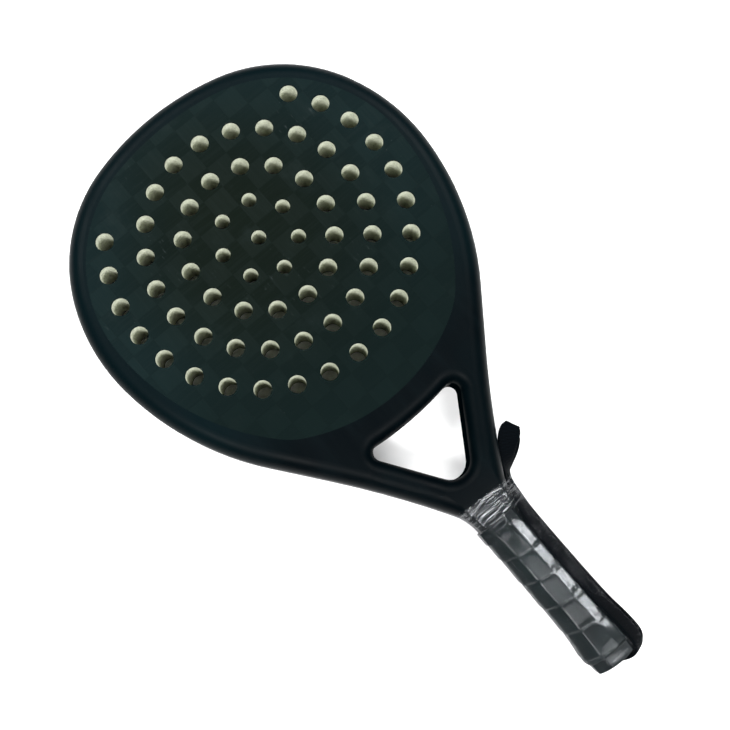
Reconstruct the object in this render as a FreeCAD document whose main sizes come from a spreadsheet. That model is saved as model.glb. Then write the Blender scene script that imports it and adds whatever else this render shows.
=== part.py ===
import FreeCAD, Part

import math
import os

import Sketcher
from FreeCAD import Placement, Rotation, Vector

# Padel racket, lying face up: a hollow carbon frame with a bridge over its open throat, a perforated foam
# core between two face sheets, and an eight-sided handle with its cap, grip, tape, wrist strap and sleeve.
#
# Millimetres. +Y runs towards the tip of the head and +Z comes out of the front face. The origin is at the
# bottom centre of the box that holds the racket without its strap. Lengths called "down" are measured from
# the middle of the hole rings towards the butt.

SIZES = {
    "overall_length": 455.0,
    "thickness": 38.0,
    "tip_to_rings": 108.5,
    # Outline of the frame from the tip down one side: radius of each arc, and its turn in degrees.
    "tip_radius": 184.0,
    "tip_turn": 15.4,
    "shoulder_radius": 104.0,
    "shoulder_turn": 50.5,
    "side_radius": 126.5,
    "side_turn": 29.4,
    "lower_radius": 184.0,
    "lower_turn": 31.9,
    "arm_run": 40.7,
    "arm_radius": 674.0,
    "arm_turn": 7.0,
    "neck_radius": 36.0,
    "neck_end": 232.5,
    # Outline of the core and the face sheets. The radius of the last arc closes it on the centre line.
    "rim_width": 13.5,
    "face_tip_radius": 192.4,
    "face_tip_turn": 11.5,
    "face_shoulder_radius": 94.4,
    "face_shoulder_turn": 78.5,
    "face_side_radius": 154.4,
    "face_side_turn": 42.9,
    "face_corner_radius": 51.0,
    "face_corner_turn": 17.6,
    # Opening of the throat, a triangle with rounded corners.
    "throat_top": 150.0,
    "throat_top_radius": 215.0,
    "throat_top_turn": 7.6,
    "throat_corner_radius": 5.6,
    "throat_apex": 197.5,
    "throat_apex_radius": 12.5,
    "bridge_top": 112.0,
    # Section of the frame. Its neck thins towards the handle.
    "edge_round": 11.0,
    "throat_edge_round": 9.0,
    "frame_wall": 1.6,
    "neck_thinning_start": 196.0,
    "neck_half_thickness": 13.2,
    "fit_gap": 0.2,
    # Post that the handle foam sits on.
    "post_half_width": 8.0,
    "post_half_thickness": 7.0,
    "post_end": 326.0,
    # Face sheets and perforations. Every ring has a multiple of the same number of holes.
    "sheet_thickness": 1.0,
    "small_hole_radius": 4.75,
    "large_hole_radius": 5.75,
    "ring_one_radius": 25.2,
    "ring_two_radius": 48.0,
    "ring_three_radius": 72.2,
    "ring_four_radius": 97.0,
    "ring_step": 7,
    "ring_four_holes": 21,
    # Handle.
    "handle_half_width": 14.4,
    "handle_half_height": 13.0,
    "handle_bevel": 7.1,
    "foam_end": 330.0,
    "cap_start": 314.0,
    "cap_wall": 1.0,
    "cap_flare_start": 322.0,
    "cap_flare": 1.7,
    "cap_rim": 334.0,
    "cap_dome_radius": 48.0,
    "cap_recess_radius": 12.0,
    "cap_recess_depth": 2.5,
    "knot_room_radius": 8.5,
    "knot_room_end": 341.5,
    "strap_bore_radius": 6.9,
    "grip_start": 232.5,
    "grip_end": 338.0,
    "grip_wall": 1.8,
    "tape_width": 9.0,
    "tape_wall": 0.3,
    "knot_radius": 7.9,
    "knot_length": 9.0,
    "knot_round": 3.0,
    # Wrist strap of flat webbing, doubled: one run lies on the side facet, one on the front bevel.
    "strap_width": 12.0,
    "strap_thickness": 2.2,
    "strap_layer_offset": 1.5,
    "strap_gathered_share": 0.5,
    "strap_gathered_run": 24.0,
    "strap_tail_radius": 6.7,
    "strap_tail_end": 349.0,
    # Clear sleeve.
    "film_wall": 0.35,
    "film_start": 214.5,
    "film_end": 341.0,
}

doc = FreeCAD.newDocument("padel_racket")
sheet = doc.addObject("Spreadsheet::Sheet", "dims")
for row, (alias, value) in enumerate(SIZES.items(), start=1):
    sheet.set(f"A{row}", alias)
    sheet.set(f"B{row}", str(value))
    sheet.setAlias(f"B{row}", alias)
doc.recompute()


def size(alias):
    """A driving dimension, read from the sheet."""
    return float(sheet.get(alias))


RINGS_Y = size("overall_length") / 2 - size("tip_to_rings")
BUTT = size("overall_length") - size("tip_to_rings")
MID_Z = size("thickness") / 2
CUTTER_EXTRA = 1.0         # how far a cutting shape reaches past what it cuts
BORE_CUTTER = 30.0         # length of the shape that opens the cap's bore
POST_ROOT = 4.0            # length of the post inside the neck
RIM_TURN_IN = 1.0          # how far the cap's side leans in past its rim
GRIP_EASE = 4.0            # run over which the grip rises onto the cap
GRIP_END_THINNING = 0.6
KNOT_CLEARANCE = 1.5       # room past the knot
parts = []


def at(x, down, z=0.0):
    """Point at x, so far down from the middle of the rings, and z above the middle of the thickness."""
    return Vector(x, RINGS_Y - down, MID_Z + z)


def flat(x, down):
    """Point of an outline on the resting plane."""
    return Vector(x, RINGS_Y - down, 0)


def keep(obj, label):
    """Registers a finished sub-part under its own name."""
    obj.Label = label
    parts.append(obj)
    return obj


def keep_shape(shape, label):
    """Registers a sub-part whose form no parametric feature makes."""
    if len(shape.Solids) == 1:
        shape = shape.Solids[0]
    feature = doc.addObject("Part::Feature", label)
    feature.Shape = shape
    return keep(feature, label)


# ---------------------------------------------------------------- outlines of tangent arcs


def walk(start, heading, steps):
    """Chain of tangent arcs and lines from a point. A step is (radius, turn), with the turn in degrees to
    the right, or (None, length). The heading is in degrees to the right of +X."""
    edges = []
    point = start
    for radius, amount in steps:
        angle = math.radians(heading)
        if radius is None:
            end = point + Vector(math.cos(angle), -math.sin(angle), 0) * amount
            edges.append(Part.LineSegment(point, end))
        else:
            side = math.copysign(radius, amount)
            centre = point - Vector(math.sin(angle), math.cos(angle), 0) * side
            turned = [math.radians(heading + amount * share) for share in (0.5, 1.0)]
            middle, end = [centre + Vector(math.sin(a), math.cos(a), 0) * side for a in turned]
            edges.append(Part.Arc(point, middle, end))
            heading += amount
        point = end
    return [edge.toShape() for edge in edges], point


def both_sides(half, closing=()):
    """Closed face from the edges of the right-hand side, its mirror image and any closing edges."""
    mirror = [edge.mirror(Vector(0, 0, 0), Vector(1, 0, 0)) for edge in half]
    edges = Part.__sortEdges__(half + mirror + list(closing))
    return Part.Face(Part.Wire(edges))


def prism(face, low, high):
    """Extrusion of a flat face between two heights."""
    solid = face.extrude(Vector(0, 0, high - low))
    solid.translate(Vector(0, 0, low))
    return solid


def frame_face(inset):
    """Head, arms and neck, up to a straight cut across the handle."""
    turned = sum(size(f"{name}_turn") for name in ("tip", "shoulder", "side", "lower")) - size("arm_turn")
    half, end = walk(
        flat(0, inset - size("tip_to_rings")),
        0,
        [
            (size("tip_radius") - inset, size("tip_turn")),
            (size("shoulder_radius") - inset, size("shoulder_turn")),
            (size("side_radius") - inset, size("side_turn")),
            (size("lower_radius") - inset, size("lower_turn")),
            (None, size("arm_run")),
            (size("arm_radius") + inset, -size("arm_turn")),
            (size("neck_radius") + inset, 90 - turned),
        ],
    )
    corner = flat(end.x, size("neck_end") - inset)
    half.append(Part.LineSegment(end, corner).toShape())
    across = Part.LineSegment(corner, Vector(-corner.x, corner.y, 0)).toShape()
    return both_sides(half, [across])


def core_edges(outset, centre):
    """Right-hand edges of the core's outline, grown by an outset, about a given middle of the rings."""
    turned = sum(size(f"face_{name}_turn") for name in ("tip", "shoulder", "side", "corner"))
    top = centre + Vector(0, size("tip_to_rings") - size("rim_width") + outset, 0)
    half, end = walk(
        top,
        0,
        [
            (size("face_tip_radius") + outset, size("face_tip_turn")),
            (size("face_shoulder_radius") + outset, size("face_shoulder_turn")),
            (size("face_side_radius") + outset, size("face_side_turn")),
            (size("face_corner_radius") + outset, size("face_corner_turn")),
        ],
    )
    closing_turn = 180 - turned
    closing_radius = end.x / math.sin(math.radians(closing_turn))
    bottom, end = walk(end, turned, [(closing_radius, closing_turn)])
    return half + bottom


def throat_circles():
    """Middles of the right-hand corner circle and of the apex circle, as (x, down), and the angle of the
    line that touches both from the centre line."""
    reach = size("throat_top_radius") + size("throat_corner_radius")
    turn = math.radians(size("throat_top_turn"))
    top_middle = size("throat_top") - size("throat_top_radius")
    corner = (reach * math.sin(turn), top_middle + reach * math.cos(turn))
    apex = (0.0, size("throat_apex") - size("throat_apex_radius"))
    across, along = corner[0] - apex[0], apex[1] - corner[1]
    spread = (size("throat_apex_radius") - size("throat_corner_radius")) / math.hypot(across, along)
    return corner, apex, math.atan2(across, along) - math.asin(spread)


def throat_face(outset):
    """Opening of the throat, grown by an outset."""
    corner, apex, lean = throat_circles()
    tilt = math.degrees(lean)
    run = math.dist(corner, apex) ** 2 - (size("throat_apex_radius") - size("throat_corner_radius")) ** 2
    half, end = walk(
        flat(0, size("throat_top") - outset),
        0,
        [
            (size("throat_top_radius") - outset, -size("throat_top_turn")),
            (size("throat_corner_radius") + outset, size("throat_top_turn") + 90 + tilt),
            (None, math.sqrt(run)),
            (size("throat_apex_radius") + outset, 90 - tilt),
        ],
    )
    return both_sides(half)


def bridge_prism(inset):
    """Wedge between the two arms that the bridge fills, drawn in from their inner faces by an inset."""
    corner, apex, lean = throat_circles()
    radius = size("throat_apex_radius") - inset
    touch = (radius * math.cos(lean), apex[1] + radius * math.sin(lean))
    top = size("bridge_top")
    top_x = touch[0] + (touch[1] - top) * math.tan(lean)
    right, left = flat(top_x, top), flat(-top_x, top)
    low_right, low_left = flat(*touch), flat(-touch[0], touch[1])
    outline = Part.makePolygon([left, right, low_right, low_left, left])
    return prism(Part.Face(outline), -CUTTER_EXTRA, size("thickness") + CUTTER_EXTRA)


def neck_profile(inset):
    """Side view of the frame, as a solid wider than it: full thickness, then an arc that thins the neck."""
    start, end = size("neck_thinning_start"), size("neck_end") - inset
    half = MID_Z - inset
    drop = MID_Z - size("neck_half_thickness")
    run = size("neck_end") - start
    radius = (run**2 + drop**2) / (2 * drop) - inset
    angle = math.asin((end - start) / radius)
    tip = -size("tip_to_rings") + inset - 1

    def arc_point(share, sign):
        turn = angle * share
        return at(0, start + radius * math.sin(turn), sign * (half - radius * (1 - math.cos(turn))))

    edges = [
        Part.LineSegment(at(0, tip, half), at(0, start, half)),
        Part.Arc(at(0, start, half), arc_point(0.5, 1), arc_point(1, 1)),
        Part.LineSegment(arc_point(1, 1), arc_point(1, -1)),
        Part.Arc(arc_point(1, -1), arc_point(0.5, -1), at(0, start, -half)),
        Part.LineSegment(at(0, start, -half), at(0, tip, -half)),
        Part.LineSegment(at(0, tip, -half), at(0, tip, half)),
    ]
    face = Part.Face(Part.Wire([edge.toShape() for edge in edges]))
    face.translate(Vector(-size("overall_length"), 0, 0))
    return face.extrude(Vector(2 * size("overall_length"), 0, 0))


def outline_edges(solid, face, heights):
    """Edges of a solid that lie on the outline of a flat face, at the given heights."""
    found = []
    for edge in solid.Edges:
        middle = edge.valueAt((edge.FirstParameter + edge.LastParameter) / 2)
        level = any(abs(vertex.Z - height) < 1e-6 for vertex in edge.Vertexes for height in heights)
        straight_up = abs(edge.Vertexes[0].Z - edge.Vertexes[-1].Z) > 1e-6
        drop = Part.Vertex(Vector(middle.x, middle.y, 0))
        if level and not straight_up and face.OuterWire.distToShape(drop)[0] < 1e-5:
            found.append(edge)
    return found


def frame_body(inset):
    """The frame with its bridge, rounded all over and drawn in by an inset: the skin's outside, or what
    the skin holds."""
    low, high = inset, size("thickness") - inset
    outline = frame_face(inset)
    solid = prism(outline, low, high)
    cut_end = RINGS_Y - size("neck_end") + inset
    rim = [e for e in outline_edges(solid, outline, (low, high)) if e.BoundBox.YMax > cut_end + 1e-3]
    solid = solid.makeFillet(size("edge_round") - inset, rim)
    opening = throat_face(inset)
    solid = solid.cut(prism(opening, low - CUTTER_EXTRA, high + CUTTER_EXTRA))
    solid = solid.makeFillet(size("throat_edge_round") - inset, outline_edges(solid, opening, (low, high)))
    core_outline = both_sides(core_edges(inset, flat(0, 0)))
    core = prism(core_outline, low - CUTTER_EXTRA, high + CUTTER_EXTRA)
    return solid.cut(core).common(neck_profile(inset))


def box_about_axis(half_width, half_height, start, end):
    """Square bar along the handle."""
    return Part.makeBox(
        2 * half_width,
        end - start,
        2 * half_height,
        at(-half_width, end, -half_height),
    )


def octagon(down, grow):
    """Section of the handle, grown all round, as a wire across it."""
    width = size("handle_half_width") + grow
    height = size("handle_half_height") + grow
    bevel = size("handle_bevel") + grow * (2 - math.sqrt(2))
    quarter = [(width, height - bevel), (width - bevel, height)]
    points = quarter + [(-x, z) for x, z in reversed(quarter)]
    points += [(-x, -z) for x, z in points]
    return Part.makePolygon([at(x, down, z) for x, z in points + points[:1]])


def octagon_bar(stations):
    """Straight-sided bar through sections given as (down, growth)."""
    return Part.makeLoft([octagon(down, grow) for down, grow in stations], True, True)


# ---------------------------------------------------------------- frame and bridge

skin = size("frame_wall")
gap = size("fit_gap")
outer = frame_body(0)
inner = frame_body(skin)
post_start = size("neck_end") - POST_ROOT
post = box_about_axis(size("post_half_width"), size("post_half_thickness"), post_start, size("post_end"))
post_hollow = box_about_axis(
    size("post_half_width") - skin,
    size("post_half_thickness") - skin,
    post_start,
    size("post_end") - skin,
)
frame_skin = outer.cut(bridge_prism(0)).cut(inner.cut(bridge_prism(-skin)))
keep_shape(frame_skin.fuse(post).cut(post_hollow).removeSplitter(), "frame_tube")
bridge_inside = inner.common(bridge_prism(skin))
keep_shape(outer.common(bridge_prism(0)).cut(bridge_inside), "throat_bridge")
filling = frame_body(skin + gap)
keep_shape(filling.common(bridge_prism(skin + gap)), "bridge_foam")
keep_shape(filling.cut(bridge_prism(-skin - gap)).cut(post), "frame_foam")


# ---------------------------------------------------------------- core and face sheets


def plane(body, role):
    """One of a body's own origin planes."""
    return next(f for f in body.Origin.OriginFeatures if f.Role == role)


def sketch_on(body, name):
    """Sketch on the body's XY plane."""
    sketch = body.newObject("Sketcher::SketchObject", name)
    sketch.AttachmentSupport = [(plane(body, "XY_Plane"), "")]
    sketch.MapMode = "FlatFace"
    return sketch


def hole(body, name, ring, radius, angle=180.0):
    """One through hole of a ring, at an angle from +Y. Its radius and its distance from the middle follow
    the sheet."""
    sketch = sketch_on(body, f"{name}_sketch")
    distance = size(ring) if ring else 0.0
    turn = math.radians(angle)
    centre = Vector(-distance * math.sin(turn), distance * math.cos(turn), 0)
    sketch.addGeometry(Part.Circle(centre, Vector(0, 0, 1), size(radius)), False)
    sketch.addConstraint(Sketcher.Constraint("Radius", 0, size(radius)))
    sketch.renameConstraint(0, "hole_radius")
    sketch.setExpression("Constraints.hole_radius", f"dims.{radius}")
    if ring:
        for index, axis, factor in ((1, "DistanceX", -math.sin(turn)), (2, "DistanceY", math.cos(turn))):
            sketch.addConstraint(Sketcher.Constraint(axis, -1, 1, 0, 3, distance * factor))
            sketch.renameConstraint(index, f"place_{index}")
            sketch.setExpression(f"Constraints.place_{index}", f"dims.{ring} * {factor:.9f}")
    pocket = body.newObject("PartDesign::Pocket", name)
    pocket.Profile = sketch
    pocket.Type = "ThroughAll"
    pocket.Reversed = True
    sketch.Visibility = False
    return sketch, pocket


def pattern(body, name, sketch, pocket, count, angle=360.0):
    """Copies of a hole round the middle, with their number bound to the sheet."""
    ring = body.newObject("PartDesign::PolarPattern", name)
    ring.Originals = [pocket]
    ring.Axis = (sketch, ["N_Axis"])
    ring.Angle = angle
    ring.setExpression("Occurrences", count)
    body.Tip = ring


def perforated_plate(label, thickness_rule, low_rule):
    """Plate with the core's outline and every perforation, so thick and at such a height."""
    body = doc.addObject("PartDesign::Body", label)
    outline = sketch_on(body, f"{label}_outline")
    half = core_edges(0.0, Vector(0, 0, 0))
    edges = half + [edge.mirror(Vector(0, 0, 0), Vector(1, 0, 0)) for edge in half]
    for edge in edges:
        first, last = edge.FirstParameter, edge.LastParameter
        points = [edge.valueAt(first + (last - first) * share) for share in (0, 0.5, 1)]
        outline.addGeometry(Part.Arc(*points), False)
    pad = body.newObject("PartDesign::Pad", f"{label}_pad")
    pad.Profile = outline
    pad.setExpression("Length", thickness_rule)
    hole(body, f"{label}_centre", None, "small_hole_radius")
    rings = (("ring_one_radius", "small_hole_radius"), ("ring_two_radius", "large_hole_radius"),
             ("ring_three_radius", "large_hole_radius"))
    for step, (ring, radius) in enumerate(rings, start=1):
        sketch, pocket = hole(body, f"{label}_{ring}", ring, radius)
        pattern(body, f"{label}_{ring}_pattern", sketch, pocket, f"dims.ring_step * {step}")
    spacing = 360 / (4 * size("ring_step"))
    missing = 4 * size("ring_step") - size("ring_four_holes")
    first = (missing + 1) / 2 * spacing
    sketch, pocket = hole(body, f"{label}_ring_four", "ring_four_radius", "large_hole_radius", first)
    sweep = 360 - 2 * first
    pattern(body, f"{label}_ring_four_pattern", sketch, pocket, "dims.ring_four_holes", sweep)
    body.setExpression("Placement.Base.y", "dims.overall_length / 2 - dims.tip_to_rings")
    body.setExpression("Placement.Base.z", low_rule)
    return keep(body, label)


perforated_plate("foam_core", "dims.thickness - 2 * dims.sheet_thickness", "dims.sheet_thickness")
perforated_plate("front_face", "dims.sheet_thickness", "dims.thickness - dims.sheet_thickness")
perforated_plate("rear_face", "dims.sheet_thickness", "0 * dims.thickness")

# ---------------------------------------------------------------- handle

foam_outside = octagon_bar([(size("neck_end"), 0), (size("foam_end"), 0)])
keep_shape(foam_outside.cut(post), "handle_foam")

wall, flare = size("cap_wall"), size("cap_flare")
cap_outside = octagon_bar(
    [
        (size("cap_start"), wall),
        (size("cap_flare_start"), wall),
        (size("cap_rim"), wall + flare),
        (BUTT + CUTTER_EXTRA, wall + flare - RIM_TURN_IN),
    ]
)
dome_sag = math.sqrt(size("cap_dome_radius") ** 2 - size("cap_recess_radius") ** 2)
dome = Part.makeSphere(size("cap_dome_radius"), at(0, BUTT - dome_sag))
recess = Part.makeCylinder(
    size("cap_recess_radius"), size("cap_dome_radius"), at(0, BUTT - size("cap_recess_depth")), Vector(0, -1, 0)
)
knot_room = Part.makeCylinder(
    size("knot_room_radius"),
    size("knot_room_end") - size("foam_end") + CUTTER_EXTRA,
    at(0, size("foam_end") - CUTTER_EXTRA),
    Vector(0, -1, 0),
)
strap_bore = Part.makeCylinder(size("strap_bore_radius"), BORE_CUTTER, at(0, size("foam_end")), Vector(0, -1, 0))
cap_solid = cap_outside.common(dome).cut(recess)
keep_shape(cap_solid.cut(foam_outside).cut(knot_room).cut(strap_bore), "butt_cap")

grip_wall = size("grip_wall")
grip_outside = octagon_bar(
    [
        (size("grip_start"), grip_wall),
        (size("cap_start") - GRIP_EASE, grip_wall),
        (size("cap_flare_start"), wall + grip_wall),
        (size("cap_rim"), wall + flare + grip_wall - 0.2),
        (size("grip_end"), wall + flare + grip_wall - GRIP_END_THINNING),
    ]
)
keep_shape(grip_outside.cut(foam_outside).cut(cap_outside).cut(outer).cut(post), "base_grip")

tape_end = size("grip_start") + size("tape_width")
tape_growth = grip_wall + size("tape_wall")
tape_outside = octagon_bar([(size("grip_start"), tape_growth), (tape_end, tape_growth)])
tape_inside = octagon_bar([(size("grip_start"), grip_wall), (tape_end, grip_wall)])
keep_shape(tape_outside.cut(tape_inside), "finishing_tape")

knot = doc.addObject("Part::Cylinder", "knot_blank")
knot.setExpression("Radius", "dims.knot_radius")
knot.setExpression("Height", "dims.knot_length")
doc.recompute()
rounded_knot = doc.addObject("Part::Fillet", "strap_knot")
rounded_knot.Base = knot
rounding = (size("knot_round"), size("knot_round"))
rounded_knot.Edges = [(1, *rounding), (3, *rounding)]
knot_y = RINGS_Y - size("knot_room_end") + KNOT_CLEARANCE
knot.Placement = Placement(Vector(0, knot_y, MID_Z), Rotation(Vector(1, 0, 0), -90))
keep(rounded_knot, "strap_knot")

# ---------------------------------------------------------------- wrist strap

# Stations of each run as (x, down, z, roll), from beside the gathered tail, over the rim of the cap and up to
# the neck. Roll turns the strap's broad side from +X towards +Z.
SIDE_RUN = [
    (7.0, 347.7, 0.0, 0.0),
    (12.0, 348.0, 0.0, 0.0),
    (17.2, 346.8, 0.0, 0.0),
    (20.7, 342.8, 0.0, 0.0),
    (21.3, 336.0, 0.0, 0.0),
    (21.2, 326.0, 0.0, 4.0),
    (20.6, 312.0, 0.0, 10.0),
    (20.4, 286.0, 0.0, 12.0),
    (20.4, 262.0, 0.0, 12.0),
    (20.6, 242.0, 0.0, 10.0),
    (22.3, 229.0, 0.0, 6.0),
    (23.8, 222.0, 0.0, 5.0),
]
FRONT_RUN = [
    (5.6, 347.7, 5.6, 45.0),
    (8.7, 348.2, 8.7, 45.0),
    (12.4, 347.0, 12.2, 45.0),
    (14.6, 342.8, 13.6, 45.0),
    (14.9, 336.0, 13.5, 45.0),
    (14.6, 326.0, 13.0, 45.0),
    (13.5, 312.0, 12.0, 45.0),
    (13.2, 286.0, 11.8, 45.0),
    (13.2, 262.0, 11.8, 45.0),
    (13.6, 244.0, 12.0, 45.0),
    (16.6, 232.0, 12.2, 40.0),
    (19.3, 223.0, 7.0, 18.0),
]
# Middle of the doubled strap from the neck to its fold, where it turns over onto its broad side.
LOOP_END = [
    (23.4, 216.0, 0.3, 5.0),
    (26.8, 211.6, 1.3, 22.0),
    (30.5, 207.0, 2.8, 45.0),
    (35.2, 201.8, 4.0, 66.0),
    (39.4, 197.2, 5.0, 80.0),
    (43.0, 193.2, 5.6, 86.0),
]


def axes_along(stations, index):
    """Place of a station, and the directions ahead of it, across the strap and out of its broad side."""
    before, after = max(index - 1, 0), min(index + 1, len(stations) - 1)
    ahead = at(*stations[after][:3]) - at(*stations[before][:3])
    ahead.normalize()
    roll = math.radians(stations[index][3])
    across = Vector(-math.sin(roll), 0, math.cos(roll))
    across = across - ahead * across.dot(ahead)
    across.normalize()
    return at(*stations[index][:3]), ahead, across, across.cross(ahead) * -1


def strap_section(middle, across, out, width):
    """Section of the webbing, as a wire."""
    side, half = across * (width / 2), out * (size("strap_thickness") / 2)
    corners = [middle + side * a + half * b for a, b in ((1, 1), (-1, 1), (-1, -1), (1, -1))]
    return Part.makePolygon(corners + corners[:1])


def strap_run(stations):
    """Webbing through stations, gathered to part of its width where it starts."""
    wires, travelled = [], 0.0
    share = size("strap_gathered_share")
    for index in range(len(stations)):
        middle, _, across, out = axes_along(stations, index)
        if index:
            travelled += middle.distanceToPoint(at(*stations[index - 1][:3]))
        opened = min(1.0, travelled / size("strap_gathered_run"))
        width = size("strap_width") * (share + (1 - share) * opened)
        wires.append(strap_section(middle, across, out, width))
    return Part.makeLoft(wires, True, True)


def layer(sign):
    """Stations of one layer of the loop end, to one side of its middle."""
    shifted = []
    for index, station in enumerate(LOOP_END):
        middle, _, _, out = axes_along(LOOP_END, index)
        place = middle + out * (sign * size("strap_layer_offset"))
        shifted.append((place.x, RINGS_Y - place.y, place.z - MID_Z, station[3]))
    return shifted


def strap_fold():
    """Half turn that joins the two layers past the last station of the loop end."""
    middle, ahead, across, out = axes_along(LOOP_END, len(LOOP_END) - 1)
    start = middle + ahead * (2 * size("fit_gap"))
    wires = []
    for step in range(7):
        angle = math.radians(90 - 30 * step)
        radial = out * math.sin(angle) + ahead * math.cos(angle)
        place = start + radial * size("strap_layer_offset")
        wires.append(strap_section(place, across, radial, size("strap_width")))
    return Part.makeLoft(wires, True, True)


outward = axes_along(LOOP_END, 2)[3]
side_sign = math.copysign(1, outward.x)
keep_shape(strap_run(SIDE_RUN + layer(side_sign)), "strap_side_run")
keep_shape(strap_run(FRONT_RUN + layer(-side_sign)), "strap_front_run")
keep_shape(strap_fold(), "strap_fold")

tail = doc.addObject("Part::Cylinder", "strap_tail")
tail.setExpression("Radius", "dims.strap_tail_radius")
tail.setExpression("Height", f"dims.strap_tail_end - dims.knot_room_end + {KNOT_CLEARANCE}")
tail.setExpression("Placement.Base.y", "dims.overall_length / 2 - dims.tip_to_rings - dims.strap_tail_end")
tail.setExpression("Placement.Base.z", "dims.thickness / 2")
tail.Placement = Placement(Vector(0, RINGS_Y - size("strap_tail_end"), MID_Z), Rotation(Vector(1, 0, 0), -90))
keep(tail, "strap_tail")

# ---------------------------------------------------------------- clear sleeve

# Sections as (down, left, height, bevel, right, front, crest): front is the sum of x and z on the slanted side
# that lies over the strap's front run, and crest is the height where that side ends.
SLEEVE = [
    (size("film_start"), 20.7, 18.5, 5.6, 29.2, 34.0, 18.5),
    (223.0, 18.4, 17.0, 5.4, 25.4, 32.2, 17.6),
    (234.0, 17.2, 15.8, 5.6, 24.2, 31.0, 17.6),
    (245.0, 17.1, 15.7, 8.4, 23.8, 28.2, 17.4),
    (312.0, 17.1, 15.7, 8.4, 23.8, 27.8, 17.4),
    (336.0, 19.4, 17.9, 9.2, 24.4, 30.6, 18.6),
    (size("film_end"), 19.2, 17.8, 9.2, 23.8, 30.6, 18.6),
]


def sleeve_points(left, height, bevel, right, front, crest):
    """Corners of a section of the sleeve, anticlockwise from its low right-hand corner."""
    return [
        (right, -7.6),
        (right - 1.2, 6.4),
        (front - 9.0, 9.0),
        (front - crest, crest),
        (bevel - left, height),
        (-left, height - bevel),
        (-left, bevel - height),
        (bevel - left, -height),
        (left - bevel, -height),
    ]


def grown(points, amount):
    """A convex outline moved outwards, corner by corner."""
    moved = []
    for index, (x, z) in enumerate(points):
        (ax, az), (bx, bz) = points[index - 1], points[(index + 1) % len(points)]
        first, second = math.atan2(z - az, x - ax), math.atan2(bz - z, bx - x)
        middle, half = (first + second) / 2, (second - first) / 2
        if second < first:
            middle, half = middle + math.pi, half + math.pi
        reach = amount / math.cos(half)
        moved.append((x + reach * math.sin(middle), z - reach * math.cos(middle)))
    return moved


def sleeve_solid(grow):
    """The sleeve filled solid, grown all round."""
    wires = []
    for down, *section in SLEEVE:
        corners = [at(x, down, z) for x, z in grown(sleeve_points(*section), grow)]
        wires.append(Part.makePolygon(corners + corners[:1]))
    return Part.makeLoft(wires, True, True)


keep_shape(sleeve_solid(size("film_wall")).cut(sleeve_solid(0)), "clear_sleeve")

doc.recompute()
for obj in doc.Objects:
    if {"Invalid", "Error"} & set(obj.State):
        raise RuntimeError(f"{obj.Label} failed: {obj.State}")
for obj in parts:
    if obj.Shape.isNull() or not obj.Shape.isValid() or len(obj.Shape.Solids) != 1:
        raise RuntimeError(f"{obj.Label} is not one valid solid")
if len({obj.Label for obj in parts}) != len(parts):
    raise RuntimeError("two sub-parts share a name")

os.makedirs("parts", exist_ok=True)
for obj in parts:
    obj.Shape.exportStep(f"parts/{obj.Label}.step")
    print(obj.Label, round(obj.Shape.Volume), "mm3")
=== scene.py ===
import math

import bpy
import numpy as np
from mathutils import Matrix, Vector


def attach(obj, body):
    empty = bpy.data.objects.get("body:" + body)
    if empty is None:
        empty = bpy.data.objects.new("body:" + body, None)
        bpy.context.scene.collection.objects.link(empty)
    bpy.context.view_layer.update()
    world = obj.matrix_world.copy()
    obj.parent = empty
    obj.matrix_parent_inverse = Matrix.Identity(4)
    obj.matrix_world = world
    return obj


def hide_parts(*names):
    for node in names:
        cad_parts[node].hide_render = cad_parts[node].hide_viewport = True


# Padel racket on a white table, seen from above. Metres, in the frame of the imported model: +Y runs towards
# the tip of the head and +Z comes out of the front face.

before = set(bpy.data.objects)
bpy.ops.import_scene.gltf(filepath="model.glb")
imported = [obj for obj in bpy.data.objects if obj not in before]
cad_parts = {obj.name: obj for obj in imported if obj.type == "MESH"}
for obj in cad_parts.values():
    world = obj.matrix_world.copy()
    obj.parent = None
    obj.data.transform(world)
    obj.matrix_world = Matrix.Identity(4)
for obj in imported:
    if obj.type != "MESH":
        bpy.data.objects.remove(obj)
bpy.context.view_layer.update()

MM = 0.001
RINGS_Y = 0.119          # middle of the hole rings
MID_Z = 0.019
rng = np.random.default_rng(7)


def at(x, down, z=0.0):
    """Point given in millimetres: x, down from the middle of the rings, z above the middle thickness."""
    return Vector((x * MM, RINGS_Y - down * MM, MID_Z + z * MM))


# ---------------------------------------------------------------- camera, floor and light

CAMERA_PLACE = (-0.0779, -0.0452, 0.7190)
CAMERA_AHEAD = (0.11008, 0.08507, -0.99028)
CAMERA_UP = (0.64445, 0.75240, 0.13627)
LENS = 54.25


def make_camera():
    data = bpy.data.cameras.new("camera")
    data.lens = LENS
    data.sensor_width = 36.0
    data.clip_start = 0.01
    camera = bpy.data.objects.new("camera", data)
    bpy.context.collection.objects.link(camera)
    ahead, up = Vector(CAMERA_AHEAD), Vector(CAMERA_UP)
    right = ahead.cross(up)
    turn = Matrix((right, up, -ahead)).transposed()
    camera.matrix_world = Matrix.Translation(CAMERA_PLACE) @ turn.to_4x4()
    bpy.context.scene.camera = camera


def area_light(name, azimuth, elevation, distance, width, height, power):
    """Soft light on a sphere round the racket, facing it. Azimuth is measured from +Y towards +X."""
    data = bpy.data.lights.new(name, "AREA")
    data.shape = "RECTANGLE"
    data.size, data.size_y = width, height
    data.energy = power
    light = bpy.data.objects.new(name, data)
    bpy.context.collection.objects.link(light)
    a, e = math.radians(azimuth), math.radians(elevation)
    out = Vector((math.sin(a) * math.cos(e), math.cos(a) * math.cos(e), math.sin(e)))
    light.location = out * distance
    light.rotation_euler = out.to_track_quat("Z", "Y").to_euler()


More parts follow.
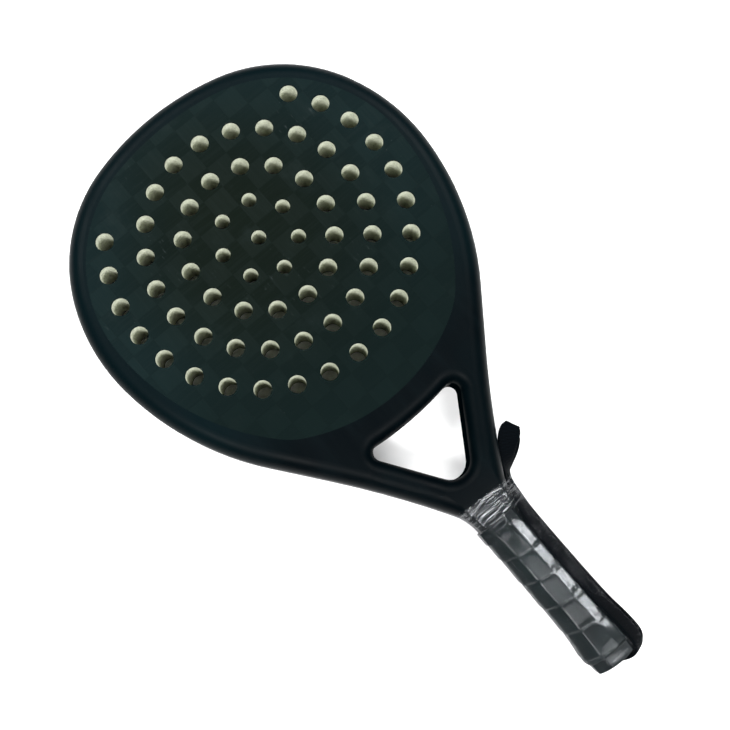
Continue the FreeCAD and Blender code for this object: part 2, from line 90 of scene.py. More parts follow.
def make_studio():
    area_light("window", -112, 58, 1.5, 0.60, 0.36, 22)
    area_light("ceiling", 160, 72, 1.9, 0.7, 0.5, 5)
    area_light("side_light", 66, 52, 1.6, 0.9, 0.6, 24)
    area_light("back_light", -10, 50, 1.6, 1.0, 0.6, 24)
    area_light("front_light", 170, 48, 1.6, 1.0, 0.5, 24)
    world = bpy.data.worlds.new("studio")
    bpy.context.scene.world = world
    world.use_nodes = True
    world.node_tree.nodes["Background"].inputs[0].default_value = (0.9, 1.0, 1.06, 1)
    world.node_tree.nodes["Background"].inputs[1].default_value = 0.06
    bpy.context.scene.view_settings.view_transform = "Standard"

    mesh = bpy.data.meshes.new("floor")
    reach = 4.0
    corners = [(-reach, -reach, 0), (reach, -reach, 0), (reach, reach, 0), (-reach, reach, 0)]
    mesh.from_pydata(corners, [], [(0, 1, 2, 3)])
    floor = bpy.data.objects.new("floor", mesh)
    floor.location.z = -0.0006
    bpy.context.collection.objects.link(floor)
    material = bpy.data.materials.new("floor_paper")
    material.use_nodes = True
    shader = material.node_tree.nodes["Principled BSDF"]
    shader.inputs["Base Color"].default_value = (0.96, 0.96, 0.96, 1)
    shader.inputs["Roughness"].default_value = 0.9
    shader.inputs["Specular IOR Level"].default_value = 0.1
    mesh.materials.append(material)


# ---------------------------------------------------------------- material helpers


class Shader:
    """A material under construction, with short calls for the nodes that the recipes below use."""

    def __init__(self, name, roughness, specular, metallic=0.0):
        self.material = bpy.data.materials.new(name)
        self.material.use_nodes = True
        self.tree = self.material.node_tree
        self.surface = self.tree.nodes["Principled BSDF"]
        self.surface.inputs["Roughness"].default_value = roughness
        self.surface.inputs["Specular IOR Level"].default_value = specular
        self.surface.inputs["Metallic"].default_value = metallic
        self.coords = self.add("ShaderNodeTexCoord").outputs["Object"]

    def add(self, kind, **values):
        node = self.tree.nodes.new(kind)
        for key, value in values.items():
            setattr(node, key, value)
        return node

    def link(self, source, target):
        self.tree.links.new(source, target)

    def feed(self, target, value):
        """Sets a socket to a constant, or links it to an output."""
        if isinstance(value, bpy.types.NodeSocket):
            self.link(value, target)
        else:
            target.default_value = value

    def scaled(self, scale=(1, 1, 1), place=(0, 0, 0), turn=(0, 0, 0), coords=None):
        node = self.add("ShaderNodeMapping")
        self.link(coords or self.coords, node.inputs["Vector"])
        node.inputs["Scale"].default_value = scale
        node.inputs["Location"].default_value = place
        node.inputs["Rotation"].default_value = turn
        return node.outputs["Vector"]

    def noise(self, scale, detail=2.0, rough=0.5, coords=None):
        node = self.add("ShaderNodeTexNoise")
        self.link(coords or self.coords, node.inputs["Vector"])
        node.inputs["Scale"].default_value = scale
        node.inputs["Detail"].default_value = detail
        node.inputs["Roughness"].default_value = rough
        return node.outputs["Fac"]

    def cells(self, scale, feature="F1"):
        node = self.add("ShaderNodeTexVoronoi", feature=feature)
        self.link(self.coords, node.inputs["Vector"])
        node.inputs["Scale"].default_value = scale
        return node

    def math(self, operation, first, second=0.0, third=0.0, clamp=False):
        node = self.add("ShaderNodeMath", operation=operation, use_clamp=clamp)
        for index, value in enumerate((first, second, third)):
            self.feed(node.inputs[index], value)
        return node.outputs[0]

    def band(self, value, low, high, start=0.0, end=1.0):
        """Maps low..high smoothly onto start..end."""
        node = self.add("ShaderNodeMapRange", interpolation_type="SMOOTHSTEP")
        self.feed(node.inputs["Value"], value)
        for key, number in (("From Min", low), ("From Max", high), ("To Min", start), ("To Max", end)):
            node.inputs[key].default_value = number
        return node.outputs["Result"]

    def mix(self, share, first, second):
        """Blend of two colours."""
        node = self.add("ShaderNodeMix", data_type="RGBA")
        self.feed(node.inputs["Factor"], share)
        for socket, colour in ((node.inputs[6], first), (node.inputs[7], second)):
            self.feed(socket, colour if isinstance(colour, bpy.types.NodeSocket) else (*colour, 1))
        return node.outputs[2]

    def colour(self, value):
        self.feed(self.surface.inputs["Base Color"], value)

    def roughness(self, value):
        self.feed(self.surface.inputs["Roughness"], value)

    def bump(self, height, distance, strength):
        node = self.add("ShaderNodeBump")
        node.inputs["Strength"].default_value = strength
        node.inputs["Distance"].default_value = distance
        self.link(height, node.inputs["Height"])
        self.link(node.outputs["Normal"], self.surface.inputs["Normal"])

    def parts(self, coords=None):
        """X, Y and Z of the coordinates."""
        node = self.add("ShaderNodeSeparateXYZ")
        self.link(coords or self.coords, node.inputs[0])
        return node.outputs


def dress(obj, material):
    """Gives an object one material."""
    obj.data.materials.clear()
    obj.data.materials.append(material)


# ---------------------------------------------------------------- materials

TOW = 0.016              # width of one carbon tape of the face's weave
FACE_MIDDLE = (0.0023, 0.0043, 0.0028)
FACE_RIM = (0.0025, 0.0067, 0.0072)
FACE_MIDDLE_LIT = (0.0037, 0.0062, 0.0047)
FACE_RIM_LIT = (0.0031, 0.0079, 0.0083)
FACE_DEEP = (0.0010, 0.0030, 0.0026)
FACE_DUST = (0.0090, 0.0140, 0.0135)


def face_material():
    """Matt carbon of wide tapes woven over and under each other, with dust and light scuffs."""
    s = Shader("face_carbon", 0.6, 0.02)
    x, y, _ = s.parts(s.scaled(place=(-0.004, -RINGS_Y + 0.008, 0)))
    column = s.math("FLOOR", s.math("DIVIDE", x, TOW))
    row = s.math("FLOOR", s.math("DIVIDE", y, TOW))
    over = s.math("PINGPONG", s.math("ADD", column, row), 1.0)
    along = s.noise(900, 2, coords=s.scaled((1, 0.03, 1)))
    across = s.noise(900, 2, coords=s.scaled((0.03, 1, 1)))
    fibres = s.math("ADD", s.math("MULTIPLY", over, along),
                    s.math("MULTIPLY", s.math("SUBTRACT", 1.0, over), across))
    seam = s.band(s.math("MINIMUM", s.math("PINGPONG", s.math("DIVIDE", x, TOW), 0.5),
                         s.math("PINGPONG", s.math("DIVIDE", y, TOW), 0.5)), 0.0, 0.04)
    outward = s.add("ShaderNodeVectorMath", operation="LENGTH")
    s.link(s.scaled((1.06, 0.94, 0), place=(0.004 * 1.06, -RINGS_Y * 0.94, 0)), outward.inputs[0])
    ragged = s.math("MULTIPLY", s.noise(14, 3), 0.03)
    rim = s.band(s.math("ADD", outward.outputs["Value"], ragged), 0.045, 0.135)
    # The tapes that run one way take the _LIT colours: a painted sheen of their fibres catching the light,
    # not a second colour of carbon.
    base = s.mix(over, s.mix(rim, FACE_MIDDLE, FACE_RIM), s.mix(rim, FACE_MIDDLE_LIT, FACE_RIM_LIT))
    base = s.mix(s.math("MULTIPLY", s.band(s.noise(9, 3), 0.4, 0.7), 0.35), base, FACE_DEEP)
    base = s.mix(s.math("MULTIPLY", s.math("SUBTRACT", 1.0, seam), 0.18), base, FACE_DEEP)
    base = s.mix(s.math("MULTIPLY", s.band(fibres, 0.45, 0.75), 0.12), base, FACE_DUST)
    dust = s.math("MULTIPLY", s.band(s.cells(300).outputs["Distance"], 0.10, 0.04),
                  s.band(s.noise(34, 3), 0.56, 0.70))
    base = s.mix(s.math("MULTIPLY", dust, 0.35), base, (0.055, 0.07, 0.07))
    haze = s.band(s.noise(30, 5, 0.7), 0.54, 0.76)
    base = s.mix(s.math("MULTIPLY", haze, 0.30), base, FACE_DUST)
    scratches = s.noise(420, 3, 0.7, coords=s.scaled((1, 0.25, 1), turn=(0, 0, 0.7)))
    rub = s.math("MULTIPLY", s.band(scratches, 0.62, 0.72), s.band(s.noise(19, 3), 0.56, 0.68))
    base = s.mix(s.math("MULTIPLY", rub, 0.45), base, (0.030, 0.038, 0.038))
    base = s.mix(s.band(s.parts()[1], 0.11, 0.02, 0.0, 0.62), base, FACE_DEEP)
    s.colour(base)
    s.roughness(s.math("ADD", s.math("MULTIPLY", over, -0.05), s.band(fibres, 0.3, 0.8, 0.64, 0.54)))
    height = s.math("ADD", s.math("MULTIPLY", seam, 0.7), s.math("MULTIPLY", fibres, 0.2))
    s.bump(height, 0.0001, 0.5)
    return s.material


OPENING_WIDTH = 0.0592   # half width of the throat's opening, carried on to Y = 0
OPENING_SLOPE = 0.669    # growth of that half width with Y


def lacquer_material():
    """Black lacquer over carbon: satin, with faint streaks that follow the frame, and small scuffs."""
    s = Shader("frame_lacquer", 0.38, 0.03)
    x, y, z = s.parts()
    edge = s.math("ADD", s.math("MULTIPLY", y, OPENING_SLOPE), OPENING_WIDTH)
    inside = s.math("MULTIPLY", s.band(s.math("SUBTRACT", s.math("ABSOLUTE", x), edge), 0.004, 0.001),
                    s.band(y, -0.0275, -0.0305))
    depth = s.math("ABSOLUTE", s.math("SUBTRACT", z, MID_Z))
    wall = s.math("MULTIPLY", inside, s.band(depth, 0.0135, 0.0105))
    s.link(s.math("MULTIPLY", s.math("SUBTRACT", 1.0, wall), 0.03), s.surface.inputs["Specular IOR Level"])
    blotches = s.band(s.noise(16, 3), 0.3, 0.7, -0.15, 0.2)
    # Lighter teal towards the head is a painted satin sheen of the overhead light; the blotches add real
    # random tone on top.
    head_sheen_and_tone = s.math("ADD", s.band(y, -0.02, 0.05, 0.0, 0.8), blotches, clamp=True)
    base = s.mix(head_sheen_and_tone, (0.0001, 0.0010, 0.0016), (0.0004, 0.0034, 0.0044))
    streak = s.noise(60, 4, 0.6, coords=s.scaled((1, 0.12, 1)))
    base = s.mix(s.math("MULTIPLY", s.band(streak, 0.5, 0.75), 0.3), base, (0.0008, 0.0036, 0.0048))
    scuff = s.band(s.noise(130, 5, 0.75), 0.68, 0.80)
    base = s.mix(s.math("MULTIPLY", scuff, 0.15), base, (0.010, 0.016, 0.018))
    s.colour(base)
    s.roughness(s.math("ADD", s.band(streak, 0.3, 0.8, 0.38, 0.50), s.math("MULTIPLY", scuff, 0.2)))
    s.bump(s.noise(220, 2), 0.00005, 0.25)
    return s.material


def foam_material(name, light, dark, speck):
    """Cut closed-cell foam: fine pores and coloured specks."""
    s = Shader(name, 0.85, 0.15)
    grain = s.noise(520, 3, 0.6)
    base = s.mix(s.band(grain, 0.35, 0.68), dark, light)
    chips = s.cells(620)
    chip = s.band(chips.outputs["Distance"], 0.34, 0.2)
    base = s.mix(s.math("MULTIPLY", chip, s.band(s.noise(260, 2), 0.5, 0.6)), base, speck)
    s.colour(base)
    s.bump(s.math("ADD", grain, chips.outputs["Distance"]), 0.00012, 0.7)
    return s.material


def plastic_material(name, colour, roughness, specular):
    """Moulded plastic with a fine grain and slight unevenness."""
    s = Shader(name, roughness, specular)
    s.colour(s.mix(s.noise(40, 3), colour, tuple(c * 1.5 for c in colour)))
    s.roughness(s.band(s.noise(90, 3), 0.3, 0.7, roughness - 0.05, roughness + 0.08))
    s.bump(s.noise(1400, 2), 0.00004, 0.5)
    return s.material


def grip_material():
    """Synthetic leather of the grip: grained, creased and slightly cloudy."""
    s = Shader("grip_wrap", 0.5, 0.12)
    cloud = s.noise(45, 4, 0.6)
    s.colour(s.mix(s.band(cloud, 0.3, 0.75), (0.0010, 0.0028, 0.0034), (0.0036, 0.0070, 0.0080)))
    grain = s.cells(1500, "DISTANCE_TO_EDGE")
    crease = s.noise(180, 4, 0.6)
    s.roughness(s.band(crease, 0.3, 0.7, 0.40, 0.58))
    s.bump(s.math("ADD", s.math("MULTIPLY", grain.outputs["Distance"], 0.6), crease), 0.00018, 0.7)
    return s.material


def webbing_material():
    """Black webbing, woven in fine diagonal ribs, read from the ribbon's own lengthwise map."""
    s = Shader("strap_webbing", 0.75, 0.02)
    s.surface.inputs["Sheen Weight"].default_value = 0.02
    s.surface.inputs["Sheen Roughness"].default_value = 0.4
    uv = s.add("ShaderNodeUVMap", uv_map="along").outputs["UV"]
    u, v, _ = s.parts(uv)
    rib = s.math("PINGPONG", s.math("MULTIPLY", u, 620.0), 0.5)
    twill = s.math("PINGPONG", s.math("ADD", s.math("MULTIPLY", u, 420.0), s.math("MULTIPLY", v, 420.0)), 0.5)
    weave = s.math("ADD", rib, s.math("MULTIPLY", twill, 0.8))
    base = s.mix(s.band(weave, 0.2, 0.8), (0.0001, 0.0004, 0.0008), (0.0006, 0.0013, 0.0021))
    base = s.mix(s.math("MULTIPLY", s.noise(60, 3), 0.3), base, (0.0008, 0.0018, 0.0028))
    s.colour(base)
    s.bump(weave, 0.00022, 0.8)
    return s.material


def film_material():
    """Thin clear film: mostly see-through, and mirror-like where it catches the light."""
    s = Shader("clear_film", 0.10, 0.5, metallic=0.9)
    haze = s.noise(70, 4, 0.65)
    s.colour(s.mix(haze, (0.55, 0.60, 0.64), (0.80, 0.80, 0.82)))
    s.roughness(s.band(haze, 0.3, 0.7, 0.06, 0.16))
    x, y, _ = s.parts()
    front = s.math("MULTIPLY", s.band(x, -0.0095, -0.0075), s.band(x, 0.0095, 0.0080))
    fin = s.math("MULTIPLY", s.band(x, 0.0210, 0.0226), 0.03)
    folds = s.band(s.noise(1, 2, coords=s.scaled((90, 900, 90), turn=(0, 0, -0.08))), 0.44, 0.58, 0.15, 1.5)
    gathers = s.math("MULTIPLY", s.math("MULTIPLY", s.band(y, -0.115, -0.110), folds), 0.030)
    streaks = s.band(s.noise(1, 3, coords=s.scaled((420, 22, 90), turn=(0, 0, 0.05))), 0.40, 0.62, 0.5, 2.6)
    strap_side = s.math("MULTIPLY_ADD", s.band(x, 0.0100, 0.0140), s.math("SUBTRACT", streaks, 1.0), 1.0)
    extra = s.math("ADD", s.math("ADD", s.math("MULTIPLY", front, 0.008), fin), gathers)
    alpha = s.math("ADD", s.math("MULTIPLY", s.band(haze, 0.35, 0.75, 0.003, 0.012), strap_side), extra)
    alpha = s.math("MULTIPLY", alpha, s.band(y, -0.2240, -0.2215, 0.3, 1.0), clamp=True)
    s.link(alpha, s.surface.inputs["Alpha"])
    s.bump(s.noise(260, 4, 0.6, coords=s.scaled((1, 0.45, 1))), 0.00025, 0.3)
    return s.material


# ---------------------------------------------------------------- mesh helpers


def add_mesh(name, points, faces, material):
    mesh = bpy.data.meshes.new(name)
    mesh.from_pydata([tuple(p) for p in points], [], faces)
    mesh.validate()
    mesh.update()
    mesh.polygons.foreach_set("use_smooth", [True] * len(mesh.polygons))
    obj = bpy.data.objects.new(name, mesh)
    bpy.context.collection.objects.link(obj)
    mesh.materials.append(material)
    return obj


def loft(rings, looped=False):
    """Vertices and faces of a skin through closed rings with the same number of points.

    The ends are capped, or the last ring is joined to the first one.
    """
    count = len(rings[0])
    points = [p for ring in rings for p in ring]
    faces = []
    for level in range(len(rings) if looped else len(rings) - 1):
        low, high = level * count, (level + 1) % len(rings) * count
        for i in range(count):
            j = (i + 1) % count
            faces.append((low + i, low + j, high + j, high + i))
    if not looped:
        last = (len(rings) - 1) * count
        faces.append(tuple(reversed(range(count))))
        faces.append(tuple(range(last, last + count)))
    return points, faces


def octagon_radius(angle, width, height, bevel, sharpness):
    """Distance from the handle's axis to its eight-sided surface, with softened corners."""
    c, s = abs(math.cos(angle)), abs(math.sin(angle))
    sides = (c / width, s / height, (c + s) / (width + height - bevel))
    return sum(side**sharpness for side in sides) ** (-1 / sharpness)


# ---------------------------------------------------------------- grip

# Half sizes in millimetres, and stops of the flare as (down, growth).
GRIP = {"width": 16.2, "height": 14.8, "bevel": 8.15}
CORNER_SHARPNESS = 26
BEVEL_GROWTH = 0.586     # growth of the bevel for each millimetre that the sides grow
FLARE = [(233.0, 0.0), (310.0, 0.0), (322.0, 0.9), (334.0, 2.4), (338.0, 2.1)]
WRAP_PITCH = 19.5        # millimetres along the handle for one turn of the grip's strip
WRAP_STEP = 0.55         # height of the overlap
WRAP_START = 10.0        # shifts the turns along the handle
OVERLAP = 0.06           # share of a turn over which the strip drops at its overlap
GRIP_SIDES = 160


def flare(down):
    """How far the handle has widened at a place along it."""
    stops, values = zip(*FLARE)
    return float(np.interp(down, stops, values))


def wrap_phase(down, angle):
    """How far a place is through its turn of the spiral strip, from 0 to 1."""
    turn = (down + WRAP_PITCH * angle / (2 * math.pi) + WRAP_START) / WRAP_PITCH
    return turn - math.floor(turn)


def wrap_height(down, angle):
    """Height of the spiral strip: it rises slowly along each turn and drops at the overlap."""
    phase = wrap_phase(down, angle)
    rise = WRAP_STEP * phase
    if phase < OVERLAP:
        rise += WRAP_STEP * (1 - phase / OVERLAP) * 0.9
    groove = 0.28 * math.exp(-(((phase - OVERLAP - 0.02) / 0.03) ** 2))
    return rise - groove


def make_grip(material):
    """Base grip: the spiral strip over the eight-sided handle, with its ends turned in."""
    rings = []
    downs = np.arange(232.7, 338.01, 0.75)
    for down in downs:
        grow = flare(down)
        ring = []
        end = min(1.0, (down - downs[0]) / 1.5, (downs[-1] - down) / 1.5)
        for i in range(GRIP_SIDES):
            angle = 2 * math.pi * i / GRIP_SIDES
            bevel = GRIP["bevel"] + grow * BEVEL_GROWTH
            radius = octagon_radius(
                angle, GRIP["width"] + grow, GRIP["height"] + grow, bevel, CORNER_SHARPNESS
            )
            radius += (wrap_height(down, angle) - 0.45) * end - 1.2 * (1 - end)
            ring.append(at(radius * math.cos(angle), down, radius * math.sin(angle)))
        rings.append(ring)
    grip = add_mesh("grip_wrap", *loft(rings), material)
    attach(grip, "root")
    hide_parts("base_grip")


# ---------------------------------------------------------------- wrist strap

# Route of the strap: out of the cap's bore, over the rim, along the side facet, through the fold beside the
# neck and back along the front bevel. Each point has its roll, which turns the broad side from +X to +Z, and
# the heading of the fold, which turns the width away from the X axis.
STRAP_ROUTE = [
    (1.4, 342.0, -0.6, 0, 0),
    (1.8, 346.4, -0.4, 0, 0),
    (7.0, 348.0, 0.0, 0, 0),
    (12.0, 348.1, 0.0, 0, 0),
    (17.4, 346.9, 0.0, 0, 0),
    (20.8, 342.8, 0.0, 0, 0),
    (21.3, 336.0, 0.0, 0, 0),
    (21.2, 326.0, 0.0, 4, 0),
    (19.8, 312.0, 0.0, 10, 0),
    (19.4, 286.0, 0.0, 12, 0),
    (19.4, 262.0, 0.0, 12, 0),
    (19.8, 242.0, 0.0, 10, 0),
    (21.0, 229.0, 0.0, 6, 0),
    (22.0, 220.8, 0.2, 8, 6),
    (23.8, 213.8, 1.6, 26, 18),
    (28.6, 207.4, 3.6, 58, 34),
    (34.0, 202.0, 5.4, 76, 46),
    (38.6, 198.0, 6.6, 86, 58),
    (42.4, 195.8, 7.0, 88, 66),
    (46.2, 194.2, 5.2, 90, 68),
    (42.6, 196.6, 3.6, 88, 66),
    (38.8, 199.6, 3.2, 84, 58),
    (34.4, 204.4, 2.4, 74, 46),
    (28.8, 209.0, 1.2, 54, 32),
    (23.0, 214.0, 0.9, 24, 16),
    (20.2, 218.6, 3.0, 10, 4),
    (18.8, 223.6, 7.4, 20, 0),
    (16.4, 232.0, 12.2, 40, 0),
    (13.8, 244.0, 11.8, 45, 0),
    (13.5, 262.0, 11.6, 46, 0),
    (13.5, 286.0, 11.6, 46, 0),
    (13.8, 312.0, 11.8, 46, 0),
    (14.6, 326.0, 13.0, 45, 0),
    (14.9, 336.0, 13.5, 45, 0),
    (14.6, 342.8, 13.6, 45, 0),
    (12.4, 347.0, 12.2, 45, 0),
    (8.7, 348.3, 8.7, 45, 0),
    (4.6, 348.0, 4.8, 45, 0),
    (0.2, 346.4, 1.2, 20, 0),
    (-0.8, 342.0, 0.6, 0, 0),
]
# Sizes of the strap in metres, and its shares of the width.
STRAP_WIDTH = 0.012
STRAP_THICKNESS = 0.0021
GATHERED = 0.5           # share of its width where the strap goes into the bore
GATHER_RUN = 0.024
FOLD_SPREAD = 0.24       # how much wider the two layers lie together at the fold
FOLD_ROUNDING = 0.52     # how much the turn itself draws the webbing in
FOLD_RUN = 0.016         # reach of that spread along the strap
TURN_RUN = 0.0042        # reach of that drawing in
RING_SIDES = 20


def along_spline(points, name):
    """Places along the smooth spline of a list of control points."""
    curve = bpy.data.curves.new(name, "CURVE")
    curve.dimensions = "3D"
    spline = curve.splines.new("NURBS")
    spline.points.add(len(points) - 1)
    for target, point in zip(spline.points, points):
        target.co = (*point, 1)
    spline.order_u = 3
    spline.use_endpoint_u = True
    spline.resolution_u = 8
    holder = bpy.data.objects.new(name, curve)
    bpy.context.collection.objects.link(holder)
    bpy.context.view_layer.update()
    mesh = bpy.data.meshes.new_from_object(holder.evaluated_get(bpy.context.evaluated_depsgraph_get()))
    places = [v.co.copy() for v in mesh.vertices]
    bpy.data.objects.remove(holder)
    bpy.data.curves.remove(curve)
    bpy.data.meshes.remove(mesh)
    return places


def webbing_ring(place, ahead, roll, heading, width, thickness):
    """Rounded flat section of the webbing."""
    sideways = Vector((-math.cos(heading), math.sin(heading), 0))
    across = sideways * math.sin(roll) + Vector((0, 0, math.cos(roll)))
    across = (across - ahead * across.dot(ahead)).normalized()
    out = ahead.cross(across)
    ring = []
    for step in range(RING_SIDES):
        angle = 2 * math.pi * step / RING_SIDES
        c, s = math.cos(angle), math.sin(angle)
        flat_c = math.copysign(abs(c) ** 0.35, c)
        flat_s = math.copysign(abs(s) ** 0.6, s)
        ring.append(place + across * (flat_c * width / 2) + out * (flat_s * thickness / 2))
    return ring


def make_strap(material):
    """Wrist strap: one ribbon from the cap's bore, folded beside the neck and back to the bore."""
    control = [at(x, down, z) for x, down, z, _, _ in STRAP_ROUTE]
    rolls = [(math.radians(roll), math.radians(heading), 0) for *_, roll, heading in STRAP_ROUTE]
    path = along_spline(control, "strap_route")
    turns = along_spline(rolls, "strap_rolls")
    distance = [0.0]
    for first, second in zip(path, path[1:]):
        distance.append(distance[-1] + (second - first).length)
    total = distance[-1]
    rings = []
    for index, place in enumerate(path):
        ahead = (path[min(index + 1, len(path) - 1)] - path[max(index - 1, 0)]).normalized()
        from_end = min(distance[index], total - distance[index])
        opened = min(1.0, from_end / GATHER_RUN)
        fanned = FOLD_SPREAD * math.exp(-(((distance[index] - total / 2) / FOLD_RUN) ** 2))
        turned = FOLD_ROUNDING * math.exp(-(((distance[index] - total / 2) / TURN_RUN) ** 2))
        width = STRAP_WIDTH * (GATHERED + (1 - GATHERED) * opened + fanned - turned)
        thickness = STRAP_THICKNESS * (1.5 - 0.5 * opened)
        rings.append(webbing_ring(place, ahead, turns[index].x, turns[index].y, width, thickness))
    strap = add_mesh("wrist_strap", *loft(rings), material)
    layer = strap.data.uv_layers.new(name="along")
    count = len(rings[0])
    for loop in strap.data.loops:
        ring, side = divmod(loop.vertex_index, count)
        across = math.cos(2 * math.pi * side / count) * STRAP_WIDTH / 2
        layer.data[loop.index].uv = (distance[ring], across)
    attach(strap, "root")
    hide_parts("strap_side_run", "strap_front_run", "strap_fold", "strap_tail")


# ---------------------------------------------------------------- clear sleeve

# Sections of the film in millimetres as (down, left, height, bevel, right, front, crest). They lie a little
# inside the model that the film replaces.
SLEEVE = [
    (213.6, 20.6, 18.2, 5.6, 26.0, 32.4, 18.2),
    (223.0, 18.3, 16.8, 5.4, 23.9, 30.8, 17.4),
    (234.0, 17.0, 15.7, 5.6, 23.2, 30.0, 17.4),
    (245.0, 16.9, 15.5, 8.4, 23.2, 28.0, 17.4),
    (312.0, 16.9, 15.5, 8.4, 23.6, 27.6, 17.4),
    (333.0, 19.0, 17.3, 9.2, 24.2, 30.0, 18.4),
    (341.0, 19.1, 17.6, 9.2, 23.4, 30.2, 18.5),
    (343.6, 18.6, 17.0, 9.2, 23.0, 30.0, 18.4),
    (344.8, 16.2, 14.9, 8.4, 22.4, 29.4, 18.0),
    (345.4, 12.8, 11.8, 6.9, 21.8, 29.0, 17.8),
]
RAMP_START = 2.2         # X at which the film leaves the front facet and climbs over the strap
RAMP_PLACE = 0.288       # where that slope lies round the section, as a share of it
FILM_SIDES = 220
FILM_THICKNESS = 0.12
SLANT = 3.7              # how far the film's top edge slopes along the handle, over SLANT_SPAN across it
SLANT_SPAN = 43.5
SLANT_LEFT = 18.5        # the slope is zero this far left of the handle's axis
SLANT_RUN = 12           # reach of the slope along the handle


def sleeve_corners(down):
    """Corners of the film's section at a place along the handle."""
    stops = [row[0] for row in SLEEVE]
    left, height, bevel, right, front, crest = (
        float(np.interp(down, stops, [row[k] for row in SLEEVE])) for k in range(1, 7)
    )
    return [
        (right, -7.6), (right - 1.0, 6.4), (front - 9.0, 9.0), (front - crest - 1.6, crest + 0.4),
        (RAMP_START, height), (bevel - left, height),
        (-left, height - bevel), (-left, bevel - height), (bevel - left, -height), (left - bevel, -height),
    ]


def film_ring(down):
    """Points round the film's section with softened corners."""
    corners = np.array(sleeve_corners(down))
    closed = np.vstack([corners, corners[:1]])
    lengths = np.hypot(*np.diff(closed, axis=0).T)
    run = np.concatenate([[0], np.cumsum(lengths)])
    places = np.linspace(0, run[-1], FILM_SIDES, endpoint=False)
    ring = np.stack([np.interp(places, run, closed[:, k]) for k in (0, 1)], axis=1)
    for _ in range(3):
        ring = 0.25 * np.roll(ring, 1, axis=0) + 0.5 * ring + 0.25 * np.roll(ring, -1, axis=0)
    return ring


def wrinkle_field(downs):
    """Height of the film's wrinkles over (place along the handle, place round it), in millimetres."""
    rows, sides = len(downs), FILM_SIDES
    around = np.arange(sides) / sides
    field = np.zeros((rows, sides))
    for _ in range(72):
        gathered = rng.random() < 0.85
        centre = rng.uniform(213, 231) if gathered else rng.uniform(325, 341)
        width, spread = rng.uniform(0.6, 1.1), rng.uniform(0.04, 0.12)
        slope = rng.uniform(-6, 6)
        gap = (around - rng.uniform(0, 1) + 0.5) % 1 - 0.5
        ridge = np.exp(-(((downs[:, None] - centre - slope * gap[None, :]) / width) ** 2))
        height = rng.uniform(0.4, 1.1) if gathered else rng.uniform(0.05, 0.2)
        field += height * ridge * np.exp(-((gap / spread) ** 2))[None, :]
    field = np.minimum(field, 1.6)
    for seam in np.arange(257.0, 330.0, WRAP_PITCH):
        for _ in range(6):
            centre, place = seam + rng.uniform(-3.5, 3.5), RAMP_PLACE + rng.uniform(-0.012, 0.012)
            gap = (around - place + 0.5) % 1 - 0.5
            ridge = np.exp(-(((downs[:, None] - centre - 6 * gap[None, :]) / 0.55) ** 2))
            field += rng.uniform(0.15, 0.4) * ridge * np.exp(-((gap / 0.022) ** 2))[None, :]
    for _ in range(34):
        centre, place = rng.uniform(236, 325), rng.uniform(0, 1)
        width, spread = rng.uniform(4, 12), rng.uniform(0.008, 0.02)
        gap = (around - place + 0.5) % 1 - 0.5
        line = np.exp(-(((downs[:, None] - centre) / width) ** 2)) * np.exp(-((gap / spread) ** 2))[None, :]
        field += rng.uniform(-0.15, 0.25) * line
    return field


def seam_print(down, angle):
    """How the grip's overlaps show through the film where it lies tight on it."""
    phase = wrap_phase(down, angle)
    return WRAP_STEP * (phase - 0.5) - 0.35 * math.exp(-(((phase - 0.06) / 0.035) ** 2))


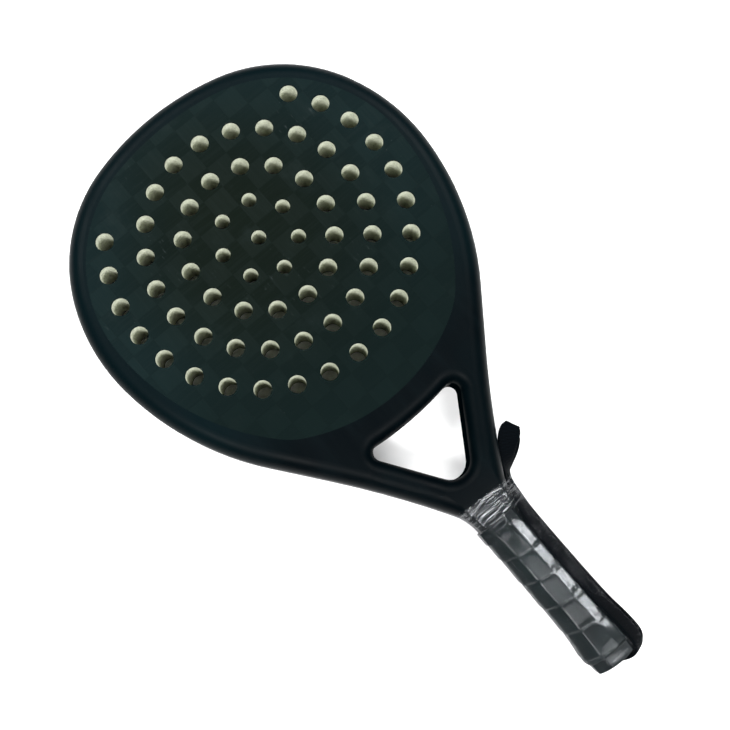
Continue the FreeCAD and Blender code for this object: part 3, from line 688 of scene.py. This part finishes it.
def make_film(material):
    """Clear film: an open sleeve with wrinkles, narrowed at its lower end round the butt."""
    stretches = [(213.6, 232.0, 0.33), (232.0, 343.0, 0.6), (343.0, 345.41, 0.3)]
    downs = np.concatenate([np.arange(*stretch) for stretch in stretches])
    field = wrinkle_field(downs)
    outer, inner = [], []
    for row, down in enumerate(downs):
        ring = film_ring(down)
        nexts, lasts = np.roll(ring, -1, axis=0), np.roll(ring, 1, axis=0)
        tangent = nexts - lasts
        normal = np.stack([tangent[:, 1], -tangent[:, 0]], axis=1)
        normal /= np.linalg.norm(normal, axis=1)[:, None]
        angles = np.arctan2(ring[:, 1], ring[:, 0]) % (2 * math.pi)
        tight = np.clip((2.5 - ring[:, 0]) / 3.0, 0, 1) * min(1.0, max(0.0, (down - 232) / 4))
        prints = np.array([seam_print(down, angle) for angle in angles]) * tight
        calm = 1 - 0.75 * np.exp(-(((ring[:, 0] + 4) / 5) ** 2)) * (ring[:, 1] > 0) * (down < 236)
        skin = ring + normal * (field[row] * calm + prints)[:, None]
        under = skin - normal * FILM_THICKNESS
        slant = SLANT * math.exp(-(down - downs[0]) / SLANT_RUN)
        for rings, side in ((outer, skin), (inner, under)):
            rings.append([at(x, down + slant * (x + SLANT_LEFT) / SLANT_SPAN, z) for x, z in side])
    film = add_mesh("clear_film", *loft(outer + inner[::-1], looped=True), material)
    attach(film, "root")
    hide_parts("clear_sleeve")


# ---------------------------------------------------------------- the racket

make_camera()
make_studio()
make_strap(webbing_material())
make_grip(grip_material())
make_film(film_material())

lacquer = lacquer_material()
carbon = face_material()
for node in ("frame_tube", "throat_bridge"):
    dress(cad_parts[node], lacquer)
for node in ("front_face", "rear_face"):
    dress(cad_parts[node], carbon)
core_foam = foam_material("core_foam", (0.60, 0.62, 0.52), (0.46, 0.48, 0.39), (0.24, 0.26, 0.20))
dress(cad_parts["foam_core"], core_foam)
pale_foam = foam_material("frame_foam", (0.80, 0.80, 0.76), (0.6, 0.6, 0.56), (0.7, 0.7, 0.66))
for node in ("frame_foam", "bridge_foam"):
    dress(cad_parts[node], pale_foam)
dark_foam = foam_material("handle_foam", (0.12, 0.12, 0.12), (0.06, 0.06, 0.06), (0.2, 0.2, 0.2))
dress(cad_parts["handle_foam"], dark_foam)
dress(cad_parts["butt_cap"], plastic_material("cap_plastic", (0.0014, 0.0030, 0.0038), 0.45, 0.12))
dress(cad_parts["finishing_tape"], plastic_material("tape", (0.0012, 0.0026, 0.0032), 0.4, 0.08))
dress(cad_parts["strap_knot"], plastic_material("strap_knot_webbing", (0.003, 0.004, 0.005), 0.8, 0.15))
